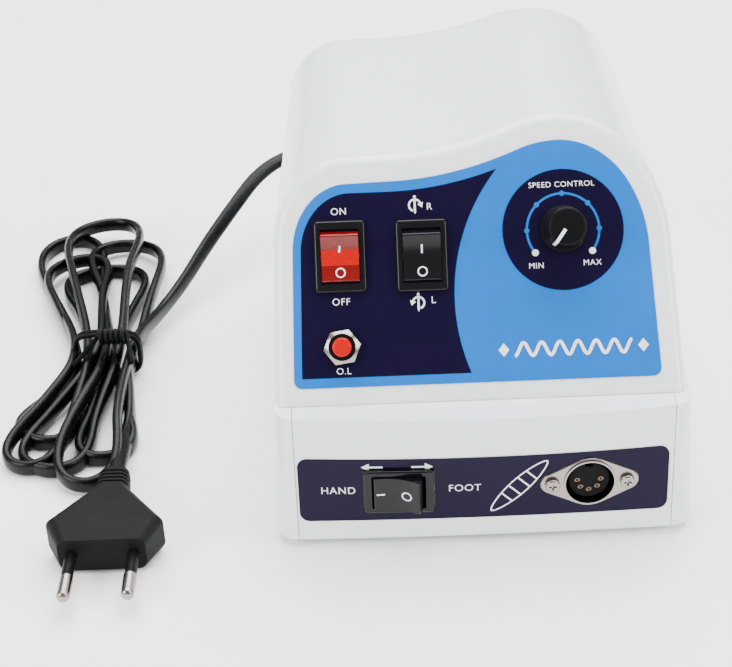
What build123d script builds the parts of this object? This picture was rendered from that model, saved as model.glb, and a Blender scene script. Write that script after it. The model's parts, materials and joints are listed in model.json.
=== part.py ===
from build123d import *
import os
from math import atan, cos, pi, radians, sin, sqrt, tan

os.makedirs("parts", exist_ok=True)

# Control unit of an electric nail drill: a two-part plastic housing with a sloped control panel,
# a bowed front fascia with the handpiece socket, and a flat mains cord tied in a hank.
# Sizes are in millimetres. X is to the right, Y to the back and Z up, seen from the front.

# ---- overall sizes ----
width = 126.0            # lower housing at its foot
depth = 154.0            # lower housing, middle of the front to the back
middle_y = -4.7          # the gland sticks out further than the front controls
foot_h = 2.4             # rubber feet below the housing
base_top = 44.8          # height of the ledge above the table
foot_edge_r = 1.2
hole_gap = 0.1           # around flanges and through holes
seat_sink = 0.2          # flat seats on the bowed front
draft_x = 2.0            # how far each side leans in from the foot to the ledge
draft_back = 1.0
wall = 2.6               # all moulded walls
seam = 0.2               # gap between neighbouring mouldings
fit = 0.05               # radial running fit of pins and shafts
back_r = 14.0            # rear corners of the lower housing

# ---- front fascia ----
fascia_w = 112.0
sag_low = 0.7            # bow of the front at the foot
sag_high = 3.5           # bow of the front at the ledge
front_lean = 1.7         # the middle of the front leans back this far
strip_x, strip_w = -0.4, 109.6
strip_h = 21.6
strip_z = 9.9            # lower edge of the fascia label
strip_r = 3.0
label_t = 0.3

# ---- sloped control panel and hood ----
lean = 34.4              # panel, away from upright
crease_in = 10.8         # from the foot of the front to where the panel meets the ledge
hood_taper = 1.5
rim = 5.8                # plastic around the panel label
rim_r = 3.4
hood_back_r = 10.0
hood_inset = 2.0         # back of the hood, in from the lower housing
label_low = 5.4          # lower edge of the panel label, up the slope from the crease
side_x = 55.1            # panel label, left edge at the crease
plateau_z = 54.9         # panel label, flat top above the crease
wave_x = -26.5           # where the flat top starts to rise
label_low_r = 2.5
shoulder_r = 17.0
hollow_r, crest_r, wave_turn = 119.0, 38.0, 19.1
fall_r, fall_turn = 25.5, 55.0
flank_r = 30.0
side_lean_left, side_lean_right = 0.8, 3.0
hood_widen = 1.6         # the hood's right side stands further out than the label's

# ---- switches ----
bezel_l, bezel_w, bezel_t = 21.0, 15.0, 2.0
cut_l, cut_w = 19.2, 13.0
bezel_r = 1.2
window_l, window_w = 16.0, 11.4
well_deep = 12.0
switch_deep = 19.0
tab_l, tab_w, tab_t = 7.0, 4.8, 0.8
tab_pitch = 6.0
hinge_r = 0.8
band_w = 4.6             # opaque middle of the lit rocker
throw = 12.0             # each way
pivot_low = 1.0          # hinge above the seat of the bezel
power_at = (-40.0, 43.7)
direction_at = (-16.1, 43.2)
mode_at = (-25.4, 20.7)

# ---- speed control ----
dial_at = (25.5, 49.2)
knob_r, knob_h = 6.9, 12.6
shaft_r = 3.0
knob_rest = 35.5         # pointer, left of straight down
knob_taper, knob_top_r, knob_gap, skirt_h = 1.3, 1.1, 0.6, 2.6
pointer_w, pointer_deep, pointer_gap = 1.0, 0.4, 0.02
pointer_in, pointer_rise = 1.0, 3.4
nut_r = 5.4
pot_r, pot_deep = 8.2, 9.0

# ---- overload reset ----
reset_at = (-40.4, 17.2)
button_r = 2.85
bush_r = 4.0
nut_af = 9.6
nut_h = 3.6
button_up = 2.4          # button above its nut
spring_l = 8.0
wire_r = 0.3
reset_deep = 20.0
breaker_w, breaker_d = 11.0, 14.0

# ---- handpiece socket ----
socket_at = (30.9, 21.1)
socket_pitch = 22.2      # between its two screws
socket_bore = 7.2
shell_r = 7.7
flange_r = 8.3
flange_t = 1.0
lip_h = 0.5
ear_r = 3.4
m3_r = 1.4
socket_deep = 12.0
contact_r, contact_ring = 0.85, 3.5

# ---- rear ----
gland_at = (-35.0, 34.0)
jack_at = (2.0, 24.0)
fuse_at = (34.0, 26.0)
gland_r, gland_out = 5.5, 14.0
jack_r, jack_bore, jack_deep, jack_case = 5.6, 3.3, 16.0, 15.0
fuse_r, fuse_deep, fuse_wall = 6.4, 32.0, 1.6
glass_r = 2.6

# ---- inside ----
plate_t = 2.6
boss_r = 4.0
boss_x, boss_front_in, boss_back_in = 50.0, 53.0, 31.0
post_top = 56.0
rib_t = 2.0
lug_x, lug_in, lug_h = 44.0, 10.0, 9.0
deck_w = 6.5
fascia_tongue = 8.0
screw_r, screw_l, screw_head_r = 1.45, 34.0, 2.7
foot_r, stud_r, foot_in, foot_front_in = 6.0, 2.5, 13.0, 26.0
vent_l, vent_w = 40.0, 2.0
core_w, core_h, core_d = 57.0, 48.0, 22.0
transformer_x, transformer_in = -17.0, 49.0
pcb_w, pcb_d, pcb_t = 32.0, 78.0, 1.6
pcb_x, pcb_in, pcb_up = 29.0, 77.0, 8.0
sink_h, can_r, can_h = 26.0, 6.5, 24.0

# ---- mains cord and plug ----
cord_r = 2.2             # round tube of about the section of the 5.4 by 3.2 flat cord
hank_h, tie_t, tie_y = 12.5, 1.2, 15.5
tie_x0, tie_x1, tie_w = -134.2, -113.4, 3.6
knot_x, knot_r = -121.5, 1.5
plug_x = -114.0
plug_face = -89.2
pin_pitch, pin_r, pin_l = 18.6, 2.0, 19.0
pin_core_r, pin_root = 1.2, 6.0
sleeve_r, sleeve_l = 1.8, 10.0
plug_l, plug_neck_l, plug_w, plug_h, plug_z = 37.0, 9.5, 35.3, 14.0, 7.2

front_y = middle_y - depth / 2
back_y = middle_y + depth / 2
crease_y = front_y + crease_in
lug_y = front_y + lug_in
half_w = width / 2
edge_x = fascia_w / 2
plate_z = foot_h + plate_t
hood_long = back_y - hood_inset - crease_y
pot_seat = wall + label_t
spring_top = 1.0 - pot_seat
n_y, n_z = -cos(radians(lean)), sin(radians(lean))
panel = Plane(origin=(0, crease_y, base_top), x_dir=(1, 0, 0), z_dir=(0, n_y, n_z))

nodes = {}
joints = {}


def cylinder(r, z0, z1):
    return Pos(0, 0, (z0 + z1) / 2) * Cylinder(r, z1 - z0)


def tube(r_out, r_in, z0, z1):
    return cylinder(r_out, z0, z1) - cylinder(r_in, z0 - 1, z1 + 1)


def block(x0, x1, y0, y1, z0, z1):
    return Pos((x0 + x1) / 2, (y0 + y1) / 2, (z0 + z1) / 2) * Box(x1 - x0, y1 - y0, z1 - z0)


def join(pieces):
    whole = pieces[0]
    for piece in pieces[1:]:
        whole = whole + piece
    return whole


def group(pieces):
    return Compound(children=[solid for piece in pieces for solid in piece.solids()])


# ---- lower body surface ----
def face_y(x, z):
    up = (z - foot_h) / (base_top - foot_h)
    sag = sag_low + (sag_high - sag_low) * up
    return front_y + front_lean * up + sag * (x / edge_x) ** 2


def face_at(x, z):
    # frame on the bowed front, its z axis pointing out of the front
    step = 0.01
    rise_x = (face_y(x + step, z) - face_y(x - step, z)) / (2 * step)
    rise_z = (face_y(x, z + step) - face_y(x, z - step)) / (2 * step)
    return Plane(origin=(x, face_y(x, z), z), x_dir=(1, rise_x, 0), z_dir=(rise_x, -1, rise_z))


def plan_outline(up):
    # eight-edged outline of the lower body, at its foot (up = 0) or its ledge (up = 1)
    hw = half_w - draft_x * up
    back = back_y - draft_back * up
    sag = sag_low + (sag_high - sag_low) * up
    turn = 2 * atan(sag / edge_x)
    front = front_y + front_lean * up
    y_edge = front + sag
    y_side = y_edge + (hw - edge_x) / (1 - sin(turn)) * cos(turn)
    edges = [
        ThreePointArc((-edge_x, y_edge), (0, front), (edge_x, y_edge)),
        TangentArc((edge_x, y_edge), (hw, y_side), tangent=(cos(turn), sin(turn))),
        Line((hw, y_side), (hw, back - back_r)),
        TangentArc((hw, back - back_r), (hw - back_r, back), tangent=(0, 1)),
        Line((hw - back_r, back), (back_r - hw, back)),
        TangentArc((back_r - hw, back), (-hw, back - back_r), tangent=(-1, 0)),
        Line((-hw, back - back_r), (-hw, y_side)),
        TangentArc((-hw, y_side), (-edge_x, y_edge), tangent=(0, -1)),
    ]
    return make_face(edges)


def lower_body(inset=0.0):
    low, high = plan_outline(0), plan_outline(1)
    if inset:
        low, high = offset(low, -inset), offset(high, -inset)
    return loft([Pos(0, 0, foot_h) * low, Pos(0, 0, base_top) * high], ruled=True)


def lower_shell():
    # walls and the deck on top of them, open below
    outer = lower_body()
    outer = fillet(outer.edges().filter_by_position(Axis.Z, foot_h - 0.1, foot_h + 0.1), foot_edge_r)
    cavity = lower_body(wall) & block(-2 * width, 2 * width, -depth, depth, 0, base_top - wall)
    return outer - cavity


# ---- hood surface ----
def wave_profile(grow, widen):
    # front view of the panel label's outline above the crease, grown outwards
    low_z = -30.0
    top_left = plateau_z - shoulder_r
    side_rise = tan(radians(side_lean_left))
    left = Line((low_z * side_rise - side_x, low_z), (top_left * side_rise - side_x, top_left))
    shoulder = JernArc(left @ 1, left % 1, shoulder_r, side_lean_left - 90)
    flat = Line(shoulder @ 1, (wave_x, plateau_z))
    hollow = JernArc(flat @ 1, (1, 0), hollow_r, wave_turn)
    crest = JernArc(hollow @ 1, hollow % 1, crest_r, -wave_turn)
    fall = JernArc(crest @ 1, (1, 0), fall_r + widen, -fall_turn)
    flank = JernArc(fall @ 1, fall % 1, flank_r, fall_turn + side_lean_right - 90)
    drop = (flank @ 1).Y - low_z
    right = Line(flank @ 1, flank @ 1 + Vector(drop * tan(radians(side_lean_right)), -drop))
    face = make_face([left, shoulder, flat, hollow, crest, fall, flank, right, Line(right @ 1, left @ 0)])
    return offset(face, grow, kind=Kind.INTERSECTION) if grow else face


def wave_prism(grow, long, widen=0.0):
    front = Plane(origin=(0, crease_y, base_top), x_dir=(-1, 0, 0), z_dir=(0, 1, 0))
    return extrude(front * mirror(wave_profile(grow, widen), about=Plane.YZ), amount=long, taper=hood_taper)


def before_panel(h):
    # everything in front of the panel plane, raised or sunk by h
    return panel * Pos(0, 0, h + depth) * Box(4 * width, 4 * depth, 2 * depth)


def on_panel(edge):
    return max(abs(panel.to_local_coords(edge @ t).Z) for t in (0, 0.5, 1)) < 0.01


def hood_solid(inset, front_r, rear_r):
    # the outer form, or the cavity that an inset leaves
    solid = wave_prism(rim - inset, hood_long - inset, hood_widen) - before_panel(-inset)
    if front_r:
        solid = fillet([e for e in solid.edges() if on_panel(e)], front_r)
    return fillet(solid.faces().sort_by(Axis.Y)[-1].edges(), rear_r)


# ---- frames of the controls ----
def switch_frame(name):
    # y runs along the rocker towards its raised end, z out of the surface
    if name == "mode":
        here = face_at(*mode_at)
        return Plane(origin=here.origin, x_dir=-here.y_dir, z_dir=here.z_dir)
    u, v = power_at if name == "power" else direction_at
    return panel_at(u, v)


def panel_at(u, v, h=0.0):
    return Plane(origin=panel.from_local_coords((u, v, h)), x_dir=panel.x_dir, z_dir=panel.z_dir)


def seated(frame, h):
    return Plane(origin=frame.origin + frame.z_dir * h, x_dir=frame.x_dir, z_dir=frame.z_dir)


switch_names = ["power", "direction", "mode"]
seat_h = {"power": label_t, "direction": label_t, "mode": -seat_sink}
socket_frame = seated(face_at(*socket_at), -seat_sink)
dial_frame = panel_at(*dial_at, label_t)
reset_frame = panel_at(*reset_at, label_t)
frames = {name: seated(switch_frame(name), seat_h[name]) for name in switch_names}


def switch_hole():
    return Box(cut_w + 2 * hole_gap, cut_l + 2 * hole_gap, 40)


def seat_cut(w, h, r):
    # flat seat for a flange on the bowed front
    return extrude(RectangleRounded(w + 2 * hole_gap, h + 2 * hole_gap, r), amount=10)


def panel_holes():
    holes = [frames[n] * switch_hole() for n in ("power", "direction")]
    holes.append(dial_frame * cylinder(bush_r + hole_gap, -20, 20))
    holes.append(reset_frame * cylinder(bush_r + hole_gap, -20, 20))
    return join(holes)


def front_holes():
    holes = [frames["mode"] * switch_hole(), frames["mode"] * seat_cut(bezel_w, bezel_l, bezel_r + hole_gap)]
    holes.append(socket_frame * cylinder(shell_r + hole_gap, -20, 20))
    holes.append(socket_frame * seat_cut(socket_pitch + 2 * ear_r, 2 * flange_r, ear_r + hole_gap))
    for side in (-1, 1):
        holes.append(socket_frame * Pos(side * socket_pitch / 2, 0, 0) * cylinder(m3_r + hole_gap, -20, 20))
    return join(holes)


# ---- housings ----
def boss_places():
    return [(x, y) for y in (front_y + boss_front_in, back_y - boss_back_in) for x in (-boss_x, boss_x)]


def upper_housing():
    outer = hood_solid(0, rim_r, hood_back_r)
    cavity = hood_solid(wall, 0, hood_back_r - wall)
    below = block(-2 * width, 2 * width, -depth, depth, -depth, base_top + seam)
    shell = outer - cavity - below - panel_holes()
    posts = []
    for x, y in boss_places():
        side = 1 if x > 0 else -1
        post = Pos(x, y, 0) * cylinder(boss_r, plate_z, post_top)
        web = block(min(x, side * half_w), max(x, side * half_w), y - rib_t / 2, y + rib_t / 2,
                    base_top + seam, post_top)
        posts.append(post + (web & hood_solid(wall / 2, 0, hood_back_r - wall / 2)))
    bores = [Pos(x, y, 0) * cylinder(screw_r + fit, 0, plate_z + screw_l) for x, y in boss_places()]
    return shell + join(posts) - join(bores)


def fascia_zone(gap):
    return block(gap - edge_x, edge_x - gap, -depth, crease_y + fascia_tongue - gap, 0, base_top + 5)


def lower_housing():
    hole_w = 2 * (half_w - draft_x - deck_w)
    y0, y1 = crease_y - seam, back_y - draft_back - 2 * deck_w
    opening = extrude(Pos(0, (y0 + y1) / 2, 0) * RectangleRounded(hole_w, y1 - y0, 6), amount=2 * base_top)
    shell = lower_shell() - fascia_zone(0) - opening
    for (x, z), r in ((gland_at, gland_r), (jack_at, jack_r), (fuse_at, fuse_r)):
        shell = shell - Pos(x, back_y, z) * Rot(90, 0, 0) * cylinder(r + hole_gap, -10, 10)
    return shell


def front_fascia():
    skin = lower_shell() & fascia_zone(seam)
    lugs = []
    for side in (-1, 1):
        x = side * lug_x
        front = face_y(x, foot_h) + wall / 2
        lug = block(x - boss_r, x + boss_r, front, lug_y + boss_r, plate_z, plate_z + lug_h)
        bore = Pos(x, lug_y, 0) * cylinder(screw_r + fit, 0, plate_z + lug_h - 2)
        lugs.append((lug & lower_body(wall / 2)) - bore)
    return skin + join(lugs) - front_holes()


def plate_holes():
    places = boss_places() + [(side * lug_x, lug_y) for side in (-1, 1)]
    return join([Pos(x, y, 0) * cylinder(screw_r + fit, 0, 10) for x, y in places])


def base_plate():
    rim_gap = wall + seam
    sheet = extrude(Pos(0, 0, foot_h) * offset(plan_outline(0), -rim_gap), amount=plate_t)
    sheet = sheet & lower_body(rim_gap)
    middle = Pos(transformer_x, back_y - transformer_in, foot_h)
    vents = [middle * Pos(0, i * 2 * vent_w, 0) * Box(vent_l, vent_w, 20) for i in range(-4, 5)]
    studs = [Pos(x, y, 0) * cylinder(stud_r + fit, 0, 10) for x, y in foot_places()]
    return sheet - plate_holes() - join(vents) - join(studs)


def foot_places():
    rows = (front_y + foot_front_in, back_y - foot_in)
    return [(side * (half_w - foot_in), y) for y in rows for side in (-1, 1)]


def rubber_feet():
    pad = cylinder(foot_r, 0, foot_h)
    pad = fillet(pad.edges().sort_by(Axis.Z)[0], 0.8)
    foot = pad + cylinder(stud_r, foot_h, plate_z)
    return group([Pos(x, y, 0) * foot for x, y in foot_places()])


def screw(head_r, head_h, shank_r, long):
    # pan head below z = 0, shank above it
    head = cylinder(head_r, -head_h, 0)
    head = fillet(head.edges().sort_by(Axis.Z)[0], head_h * 0.45)
    cross = Box(head_r * 1.1, head_h * 0.35, head_h) + Box(head_h * 0.35, head_r * 1.1, head_h)
    return head - Pos(0, 0, -head_h) * cross + cylinder(shank_r, 0, long)


def case_screws():
    one = Pos(0, 0, foot_h) * screw(screw_head_r, 1.7, screw_r, screw_l)
    short = Pos(0, 0, foot_h) * screw(screw_head_r, 1.7, screw_r, plate_t + lug_h - 3)
    lugs = [Pos(side * lug_x, lug_y, 0) * short for side in (-1, 1)]
    return group([Pos(x, y, 0) * one for x, y in boss_places()] + lugs)


def panel_label():
    band = panel * Pos(0, label_low + depth, label_t / 2) * Box(3 * width, 2 * depth, label_t)
    sheet = wave_prism(0, hood_long) & band
    corners = [e for e in sheet.edges() if abs(abs((e % 0.5).dot(panel.z_dir)) - 1) < 0.01]
    corners = sorted(corners, key=lambda e: panel.to_local_coords(e @ 0.5).Y)[:2]
    return fillet(corners, label_low_r) - panel_holes()


def fascia_label():
    skin = Pos(0, -label_t, 0) * lower_body() - lower_body()
    middle = Plane(origin=(strip_x, 0, strip_z + strip_h / 2), x_dir=(1, 0, 0), z_dir=(0, -1, 0))
    window = middle * RectangleRounded(strip_w, strip_h, strip_r)
    return (skin & extrude(window, amount=depth)) - front_holes()


# ---- rocker switches ----
def switch_body():
    flange = extrude(RectangleRounded(bezel_w, bezel_l, bezel_r), amount=bezel_t)
    flange = fillet(flange.faces().sort_by(Axis.Z)[-1].outer_wire().edges(), 0.7)
    case = Pos(0, 0, -switch_deep / 2) * Box(cut_w, cut_l, switch_deep)
    well = Pos(0, 0, bezel_t - well_deep / 2) * Box(window_w, window_l, well_deep)
    swing = Pos(0, 0, -well_deep / 2) * Box(window_w, window_l + 1.4, well_deep - 2)
    pivot = Pos(0, 0, pivot_low) * Rot(0, 90, 0) * cylinder(hinge_r + fit, -cut_w / 2 + 0.2, cut_w / 2 - 0.2)
    clips = [Pos(side * cut_w / 2, 0, -6) * Box(0.3, 4, 5) for side in (-1, 1)]
    return flange + case + join(clips) - well - swing - pivot


def rocker(band):
    # y-z section: two hollowed pads meeting in a valley over the hinge, turned to its rest
    end_y, end_z, mid_z = window_l / 2 - 1.1, bezel_t + 2.4, bezel_t + 0.9
    low_y, low_z = window_l / 2 - 1.6, -3.0
    right = ThreePointArc((0, mid_z), (end_y / 2, (mid_z + end_z) / 2 - 0.35), (end_y, end_z))
    left = ThreePointArc((-end_y, end_z), (-end_y / 2, (mid_z + end_z) / 2 - 0.35), (0, mid_z))
    rest = Polyline((end_y, end_z), (end_y + 0.4, pivot_low), (low_y, low_z), (-low_y, low_z),
                    (-end_y - 0.4, pivot_low), (-end_y, end_z))
    section = Plane.YZ * make_face([left, right, rest])
    body = extrude(section, amount=window_w / 2 - 0.2, both=True)
    ends = [e for e in body.edges() if (e @ 0.5).Z > mid_z + 0.5 and abs((e @ 0.5).Y) > end_y - 0.1]
    body = fillet(ends, 0.5)
    pins = Pos(0, 0, pivot_low) * Rot(0, 90, 0) * cylinder(hinge_r, -cut_w / 2 + 0.3, cut_w / 2 - 0.3)
    whole = body + pins
    turn = Pos(0, 0, pivot_low) * Rot(throw, 0, 0) * Pos(0, 0, -pivot_low)
    if not band:
        return turn * whole
    slab = Box(2 * cut_w, band_w, 30)
    return turn * (whole & slab), turn * (whole - slab)


def terminals():
    tabs = []
    for name in switch_names:
        for row in range(2 if name == "mode" else 3):
            at = Pos(0, (row - 1) * tab_pitch, -switch_deep - tab_l / 2)
            tabs.append(frames[name] * at * Box(tab_w, tab_t, tab_l))
    return group(tabs)


# ---- speed control ----
def knob_form(inset):
    # skirt and tapered grip, drawn in by the inset all over
    skirt, top, up = knob_r - inset, knob_r - knob_taper - inset, knob_h - inset
    corners = [(0, knob_gap), (skirt, knob_gap), (skirt, skirt_h), (skirt - 0.7, skirt_h + 1.0),
               (top, up), (0, up), (0, knob_gap)]
    form = revolve(Plane.XZ * make_face(Polyline(*corners)), axis=Axis.Z)
    return fillet(form.edges().filter_by_position(Axis.Z, up - 0.1, up + 0.1), knob_top_r - inset / 2)


def speed_knob():
    hollow = cylinder(nut_r + 0.8, 0, skirt_h + 0.6) + cylinder(shaft_r, 0, knob_h - 2.2)
    return knob_form(0) - hollow - (pointer_slot(0) - knob_form(pointer_deep))


def pointer_slot(gap):
    # straight down when unturned, from near the middle and over the edge to above the skirt
    low, out = skirt_h + pointer_rise + gap, knob_r + 1
    return block(gap - pointer_w / 2, pointer_w / 2 - gap, -out, -pointer_in - gap, low, knob_h + 1)


def knob_pointer():
    # white inlay that fills the slot in the knob
    return (pointer_slot(pointer_gap) & knob_form(0)) - knob_form(pointer_deep - pointer_gap)


def pot_shaft():
    return cylinder(shaft_r, -pot_seat - 4, knob_h - 2.3)


def pot_bushing():
    bushing = tube(bush_r - 0.3, shaft_r + fit, -pot_seat, 2.2)
    nut = extrude(RegularPolygon(nut_r, 6), amount=1.8) - cylinder(bush_r - 0.3, -1, 3)
    return bushing + nut


def pot_body():
    can = cylinder(pot_r, -pot_seat - pot_deep, -pot_seat)
    can = fillet(can.edges().sort_by(Axis.Z)[0], 0.8)
    legs = Pos(0, -pot_r - 1.8, -pot_seat - pot_deep / 2 - 0.5) * Box(1.5 * pot_r, 5, pcb_t)
    return can + legs - cylinder(shaft_r + fit, -pot_seat - 5, 0)


# ---- overload reset ----
def reset_body():
    bushing = tube(bush_r, button_r + fit, -pot_seat, nut_h - 0.5)
    case = Pos(0, 0, -pot_seat - reset_deep / 2) * Box(breaker_w, breaker_d, reset_deep)
    low = -pot_seat - reset_deep - tab_l / 2
    tabs = [Pos(0, side * breaker_w / 3, low) * Box(tab_w, tab_t, tab_l) for side in (-1, 1)]
    well = cylinder(button_r + fit, -pot_seat - spring_l, 0)
    return bushing + case + join(tabs) - well


def reset_nut():
    hexagon = extrude(RegularPolygon(nut_af / sqrt(3), 6), amount=nut_h)
    dome = Pos(0, 0, nut_h - 9.0) * Sphere(9.0)
    return (hexagon & dome) - cylinder(bush_r, -1, nut_h - 0.4) - cylinder(button_r + 0.35, -1, nut_h + 1)


def reset_button():
    cap = cylinder(button_r, spring_top, nut_h + button_up)
    cap = fillet(cap.edges().sort_by(Axis.Z)[-1], 0.9)
    return cap


def reset_spring():
    low, high = -pot_seat - spring_l + wire_r, spring_top - wire_r - 0.05
    coil = Helix(pitch=(high - low) / 4, height=high - low, radius=button_r - 2 * wire_r)
    start = Plane(origin=coil @ 0, z_dir=coil % 0)
    return Pos(0, 0, low) * sweep(start * Circle(wire_r), path=coil, is_frenet=True)


# ---- handpiece socket ----
def socket_shell():
    ears = [Pos(side * socket_pitch / 2, 0) * Circle(ear_r) for side in (-1, 1)]
    plate = make_hull((Sketch() + ears + Circle(flange_r)).edges())
    plate = extrude(plate, amount=flange_t)
    plate = fillet(plate.faces().sort_by(Axis.Z)[-1].outer_wire().edges(), 0.3)
    can = cylinder(shell_r, -socket_deep, 0)
    holes = [Pos(side * socket_pitch / 2, 0, 0) * cylinder(m3_r + fit, -5, 5) for side in (-1, 1)]
    lip = tube(shell_r, socket_bore, flange_t - 0.1, flange_t + lip_h)
    return plate + can + lip - cylinder(socket_bore, -socket_deep + 1, 5) - join(holes)


def socket_insert():
    base = cylinder(socket_bore - fit, -socket_deep + 1, -socket_deep + 4)
    core = cylinder(socket_bore - 1.1, -socket_deep + 4, -0.2)
    core = fillet(core.edges().sort_by(Axis.Z)[-1], 0.4)
    key = Pos(0, socket_bore - 1.4, 0) * Box(2.4, 2.2, 20)
    bores = [Pos(x, y, 0) * cylinder(contact_r + fit, -8, 1) for x, y in contact_places()]
    return base + core - key - join(bores)


def contact_places():
    turns = [radians(180 + 45 * i) for i in range(5)]
    return [(contact_ring * cos(a), contact_ring * sin(a)) for a in turns]


def socket_contacts():
    return group([Pos(x, y, 0) * tube(contact_r, contact_r - 0.45, -8, -0.5) for x, y in contact_places()])


def socket_screws():
    one = Pos(0, 0, flange_t) * Rot(180, 0, 0) * screw(2.2, 1.5, m3_r, 7.5)
    return group([socket_frame * Pos(side * socket_pitch / 2, 0, 0) * one for side in (-1, 1)])


def socket_nuts():
    one = extrude(RegularPolygon(3.1, 6), amount=-2.2) - cylinder(m3_r + fit, -5, 5)
    return group([socket_frame * Pos(side * socket_pitch / 2, 0, -wall - 0.4) * one for side in (-1, 1)])


# ---- rear ----
def rear_frame(x, z):
    # z axis out of the back
    return Plane(origin=(x, back_y, z), x_dir=(-1, 0, 0), z_dir=(0, 1, 0))


def cord_gland():
    collar = cylinder(gland_r + 2.5, 0, 2.5)
    collar = fillet(collar.edges().sort_by(Axis.Z)[-1], 0.8)
    neck = cylinder(gland_r, -wall - 1.5, 0) + cylinder(gland_r + 1.5, -wall - 5, -wall - 1.5)
    sleeve = Pos(0, 0, gland_out / 2) * Cone(gland_r - 1, cord_r + 1.3, gland_out)
    rings = [tube(gland_r + 2, cord_r + 1.6, 3.6 + 2.1 * i, 4.5 + 2.1 * i) for i in range(3)]
    return collar + neck + sleeve - join(rings)


def foot_jack():
    barrel = tube(jack_r, jack_bore, -wall - jack_deep, 1.5)
    case = Pos(0, 0, -wall - 1 - jack_deep / 2) * Box(jack_case, jack_case, jack_deep)
    return barrel + (case - cylinder(jack_bore, -wall - 2 * jack_deep, 5))


def foot_jack_nut():
    nut = extrude(RegularPolygon(jack_r + 2.4, 6), amount=2.0)
    return Pos(0, 0, fit) * (nut - cylinder(jack_r + fit, -1, 5))


def fuse_holder():
    bore = fuse_r - fuse_wall
    collar = tube(fuse_r + 2, bore, 0, 2)
    return collar + tube(fuse_r, bore, -fuse_deep, 0.5) + cylinder(fuse_r, -fuse_deep - 2, -fuse_deep)


def fuse_carrier():
    stem = cylinder(fuse_r - fuse_wall - 2 * fit, -6, 2.5)
    cap = cylinder(fuse_r + 1, 2.2, 8)
    cap = fillet(cap.edges().sort_by(Axis.Z)[-1], 1.0)
    return stem + cap - Pos(0, 0, 8) * Box(1.4, 2 * fuse_r, 2.4)


def glass_fuse():
    return cylinder(glass_r, -fuse_deep, -6.5)


# ---- inside ----
def transformer_core():
    core = Pos(0, 0, core_h / 2) * Box(core_w, core_d, core_h)
    leg = core_w / 6
    window = Box(leg, 2 * core_d, core_h - 2 * leg)
    return core - join([Pos(side * 1.5 * leg, 0, core_h / 2) * window for side in (-1, 1)])


def transformer_coil():
    leg = core_w / 6
    gap = 0.3
    outer = Pos(0, 0, core_h / 2) * Box(4 * leg - 2 * gap, core_d + 1.6 * leg, core_h - 2 * leg - 2 * gap)
    return outer - Pos(0, 0, core_h / 2) * Box(2 * leg + 2 * gap, core_d + 2 * gap, core_h)


def transformer_bracket():
    gap = 0.2
    outside = core_w / 2 + gap
    strap = block(-outside - 1.2, outside + 1.2, -8, 8, 0, core_h + gap + 1.2)
    strap = strap - block(-outside, outside, -9, 9, -1, core_h + gap)
    return strap - Pos(0, 0, core_h / 2) * Box(core_w / 3, 40, core_h / 2)


def control_board():
    board = block(-pcb_w / 2, pcb_w / 2, -pcb_d / 2, pcb_d / 2, pcb_up, pcb_up + pcb_t)
    return board - join([Pos(x, y, 0) * cylinder(m3_r + fit, 0, 20) for x, y in board_corners()])


def board_corners():
    return [(sx * (pcb_w / 2 - 3.5), sy * (pcb_d / 2 - 3.5)) for sx in (-1, 1) for sy in (-1, 1)]


def board_pillars():
    return group([Pos(x, y, 0) * tube(3.0, m3_r + fit, fit, pcb_up) for x, y in board_corners()])


def board_screws():
    one = Pos(0, 0, pcb_up + pcb_t) * Rot(180, 0, 0) * screw(2.7, 1.6, m3_r, pcb_up - 1)
    return group([Pos(x, y, 0) * one for x, y in board_corners()])


def on_board(x, y, shape):
    return Pos(x, y, pcb_up + pcb_t) * shape


def heat_sink():
    fins = [Pos(4 * i, 0, 0) * block(-1, 1, 0, 11, 0, sink_h) for i in range(-3, 4)]
    return on_board(0, -28, block(-13, 13, -2.5, 0.5, 0, sink_h) + join(fins))


def capacitors():
    one = cylinder(can_r, fit, can_h)
    one = fillet(one.edges().sort_by(Axis.Z)[-1], 0.8)
    return group([on_board(side * 7.2, 4, one) for side in (-1, 1)])


def round_route(points, r):
    # straight runs joined by tangent arcs, each as large as its two runs allow
    runs = [(Vector(b) - Vector(a)) for a, b in zip(points, points[1:])]
    spots = [Vector(p) for p in points]
    edges, start, radii = [], spots[0], []
    for i in range(1, len(spots) - 1):
        before, after = runs[i - 1], runs[i]
        half = radians(before.get_angle(after)) / 2
        reach = 0.45 * min(before.length, after.length)
        radii.append(reach / tan(half))
        a = spots[i] - before.normalized() * reach
        b = spots[i] + after.normalized() * reach
        edges.append(Line(start, a))
        edges.append(TangentArc(a, b, tangent=before))
        start = b
    edges.append(Line(start, spots[-1]))
    path = Wire(edges)
    print("cord route", "length %.1f" % path.length, "smallest radius %.1f" % min(radii),
          "radii", " ".join("%.0f" % value for value in radii))
    section = Plane(origin=path @ 0, z_dir=path % 0) * Circle(r)
    solid = sweep(section, path=path, transition=Transition.RIGHT)
    print("volume against section x length %.4f" % (solid.volume / (pi * r * r * path.length)))
    return solid


# The lead leaves the gland backwards, sinks to the table left of the housing and runs into the hank.
lead_route = [
    (-35.0, 86.3, 34.0), (-35.0, 99.0, 34.0), (-43.5, 110.5, 35.0), (-59.0, 114.0, 33.6),
    (-73.0, 107.5, 29.0), (-83.0, 93.0, 22.0), (-93.0, 78.0, 14.4), (-100.5, 63.0, 8.4),
    (-107.0, 48.5, 5.6), (-111.0, 36.0, 5.2), (-113.8, 25.5, 5.6),
]
tail_route = [
    (-116.0, 6.0, 6.0), (-114.2, -7.0, 3.8), (-112.9, -21.0, 3.4), (-114.0, -36.0, 6.4), (-114.0, -52.2, 7.2),
]


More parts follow.
